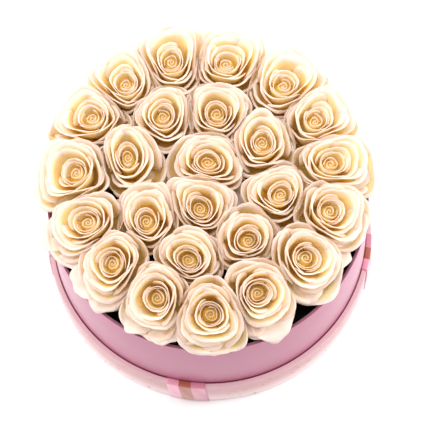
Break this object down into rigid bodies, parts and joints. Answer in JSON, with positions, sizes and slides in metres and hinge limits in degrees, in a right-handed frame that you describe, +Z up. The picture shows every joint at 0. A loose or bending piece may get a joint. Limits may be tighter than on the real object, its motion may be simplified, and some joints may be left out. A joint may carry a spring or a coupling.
{
  "type": "flower hat box",
  "caption": "Round cardboard hat box filled with open cream roses on stems in floral foam, standing in its own upturned lid with crossed satin ribbons under it.",
  "frame": {"origin": "middle of the front-to-back ribbon's underside, on the box's axis, in the plane that the box stands on", "axes": "+Z up along the box's axis; -Y towards the front, where the ribbon climbs the lid; +X to the right"},
  "size_m": [0.2711, 0.2725, 0.1707],
  "materials": {
    "box_paper": "matt pink paper wrapped on board",
    "lid_paper": "pale pink paper with sparse gold foil flecks",
    "satin_ribbon": "woven satin with a coral middle stripe",
    "liner_film": "dark waterproof film",
    "floral_foam": "wet floral foam, open cells",
    "rose_petal": "cream petals, golden in their depth",
    "rose_green": "green stem, calyx and sepals"
  },
  "bodies": {
    "root": {"ribbon_front_to_back": "satin_ribbon", "ribbon_side_to_side": "satin_ribbon", "lid_wall": "lid_paper", "lid_panel": "lid_paper", "box_wall": "box_paper", "box_bottom": "box_paper", "foam_liner": "liner_film", "floral_foam": "floral_foam", "stem_outer_01": "rose_green", "stem_outer_02": "rose_green", "stem_outer_03": "rose_green", "stem_outer_04": "rose_green", "stem_outer_05": "rose_green", "stem_outer_06": "rose_green", "stem_outer_07": "rose_green", "stem_outer_08": "rose_green", "stem_outer_09": "rose_green", "stem_outer_10": "rose_green", "stem_outer_11": "rose_green", "stem_outer_12": "rose_green", "stem_outer_13": "rose_green", "stem_outer_14": "rose_green", "stem_outer_15": "rose_green", "stem_middle_01": "rose_green", "stem_middle_02": "rose_green", "stem_middle_03": "rose_green", "stem_middle_04": "rose_green", "stem_middle_05": "rose_green", "stem_middle_06": "rose_green", "stem_middle_07": "rose_green", "stem_middle_08": "rose_green", "stem_centre_01": "rose_green", "stem_centre_02": "rose_green", "rose_outer_01": "rose_petal", "rose_outer_02": "rose_petal", "rose_outer_03": "rose_petal", "rose_outer_04": "rose_petal", "rose_outer_05": "rose_petal", "rose_outer_06": "rose_petal", "rose_outer_07": "rose_petal", "rose_outer_08": "rose_petal", "rose_outer_09": "rose_petal", "rose_outer_10": "rose_petal", "rose_outer_11": "rose_petal", "rose_outer_12": "rose_petal", "rose_outer_13": "rose_petal", "rose_outer_14": "rose_petal", "rose_outer_15": "rose_petal", "rose_middle_01": "rose_petal", "rose_middle_02": "rose_petal", "rose_middle_03": "rose_petal", "rose_middle_04": "rose_petal", "rose_middle_05": "rose_petal", "rose_middle_06": "rose_petal", "rose_middle_07": "rose_petal", "rose_middle_08": "rose_petal", "rose_centre_01": "rose_petal", "rose_centre_02": "rose_petal"}
  },
  "joints": []
}
